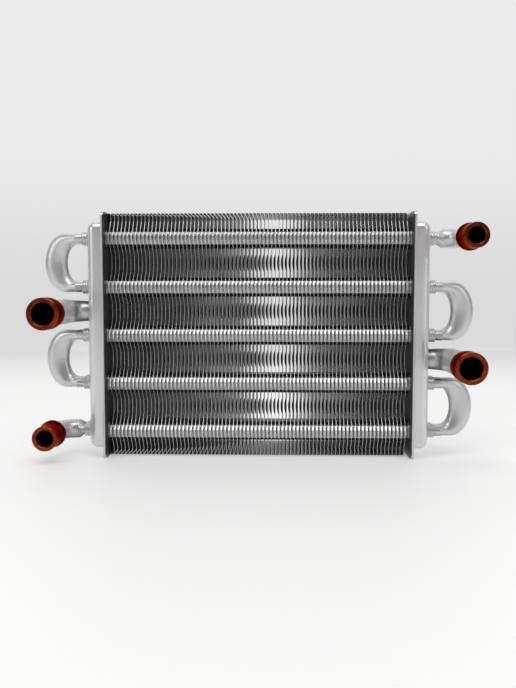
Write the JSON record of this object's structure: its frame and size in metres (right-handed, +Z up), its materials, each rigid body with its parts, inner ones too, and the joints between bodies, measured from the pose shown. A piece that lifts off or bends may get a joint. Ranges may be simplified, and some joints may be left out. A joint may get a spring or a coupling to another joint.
{
  "type": "boiler heat exchanger",
  "caption": "Finned heat exchanger with flat oval tubes between two end plates, header boxes, return bends and four turned pipe ends facing the front.",
  "frame": {"origin": "bottom of the end plates, in the middle of the overall length and depth", "axes": "+X along the tubes towards the viewer's right, -Y towards the viewer, where the pipe ends point, +Z up"},
  "size_m": [0.3236, 0.1208, 0.182],
  "materials": {
    "fin_paint": "satin silver paint on thin fins",
    "plate_paint": "satin silver paint",
    "header_paint": "satin silver paint, smooth",
    "pipe_paint": "satin silver paint, smooth",
    "copper_end": "bare copper coloured metal, turned, slightly dulled by heat"
  },
  "bodies": {
    "root": {"fin_block": "fin_paint", "inner_tube_1": "pipe_paint", "inner_tube_2": "pipe_paint", "inner_tube_3": "pipe_paint", "inner_tube_4": "pipe_paint", "inner_tube_5": "pipe_paint", "end_plate_left": "plate_paint", "end_plate_right": "plate_paint", "header_box_left": "header_paint", "header_box_right": "header_paint", "heating_pipe_left": "pipe_paint", "heating_pipe_right": "pipe_paint", "heating_spigot_left": "copper_end", "heating_spigot_right": "copper_end", "hot_water_pipe_left": "pipe_paint", "hot_water_pipe_right": "pipe_paint", "hot_water_spigot_left": "copper_end", "hot_water_spigot_right": "copper_end", "return_bend_left_upper": "pipe_paint", "return_bend_left_lower": "pipe_paint", "return_bend_right_upper": "pipe_paint", "return_bend_right_lower": "pipe_paint"}
  },
  "joints": []
}
